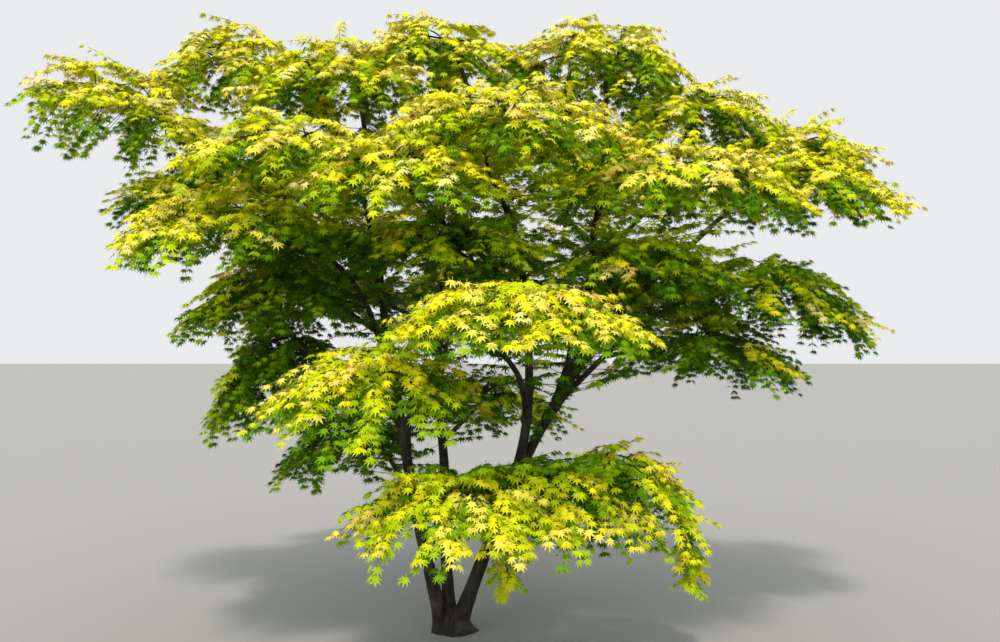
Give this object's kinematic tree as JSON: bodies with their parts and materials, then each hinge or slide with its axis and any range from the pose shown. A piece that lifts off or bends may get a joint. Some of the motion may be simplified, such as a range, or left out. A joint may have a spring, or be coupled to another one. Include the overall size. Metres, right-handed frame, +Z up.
{
  "type": "japanese maple tree",
  "caption": "Broad many-stemmed Japanese maple with slender stems fanning from one root crown and tiered, spreading shelves of yellow-green foliage down to a low skirt.",
  "frame": {"origin": "middle of the flat cut under the root crown, at ground level", "axes": "+Z up along the trunk, +X to the right and -Y towards the viewer of the picture's side"},
  "size_m": [4.7163, 4.0176, 3.4344],
  "materials": {
    "bark": "dark olive-brown bark, matt, finely ridged",
    "foliage_gold": "sunlit golden yellow-green leaves, soft sheen",
    "foliage_lime": "yellow-green leaves, soft sheen",
    "foliage_green": "fresh green shaded leaves, soft sheen"
  },
  "bodies": {
    "root": {"root_crown": "bark", "stem_left": "bark", "stem_mid": "bark", "stem_right": "bark", "stem_centre": "bark", "stem_high": "bark", "bough_skirt_front": "bark", "bough_skirt_right": "bark", "bough_mid_front": "bark", "bough_mid_left_front": "bark", "bough_left_front": "bark", "bough_far_left": "bark", "bough_left_low": "bark", "bough_top_left": "bark", "bough_upper_left": "bark", "bough_upper_mid": "bark", "bough_centre_front": "bark", "bough_upper_right": "bark", "bough_right_high": "bark", "bough_right_front": "bark", "bough_right_low": "bark", "bough_back_left": "bark", "bough_back_right": "bark", "bough_back_left_low": "bark", "bough_back_low": "bark", "bough_back_right_low": "bark", "skirt_front": "foliage_gold", "skirt_right": "foliage_gold", "low_right": "foliage_gold", "mid_front": "foliage_gold", "mid_left_front": "foliage_gold", "left_front": "foliage_gold", "far_left_top": "foliage_gold", "far_left_low": "foliage_lime", "left_mid": "foliage_lime", "left_low": "foliage_green", "left_low_tip": "foliage_green", "top_left": "foliage_gold", "upper_left_front": "foliage_gold", "upper_mid_front": "foliage_gold", "inner_left": "foliage_green", "top_mid_left": "foliage_gold", "top_centre": "foliage_gold", "top_right": "foliage_gold", "centre_front_high": "foliage_gold", "inner_front": "foliage_green", "upper_right": "foliage_gold", "right_high": "foliage_gold", "right_far": "foliage_lime", "right_front": "foliage_gold", "right_low": "foliage_lime", "right_under": "foliage_green", "right_inner": "foliage_green", "back_left_high": "foliage_gold", "back_high": "foliage_gold", "back_right_high": "foliage_gold", "back_left_low": "foliage_lime", "back_low": "foliage_lime", "back_right_low": "foliage_lime", "back_skirt": "foliage_lime"}
  },
  "joints": []
}
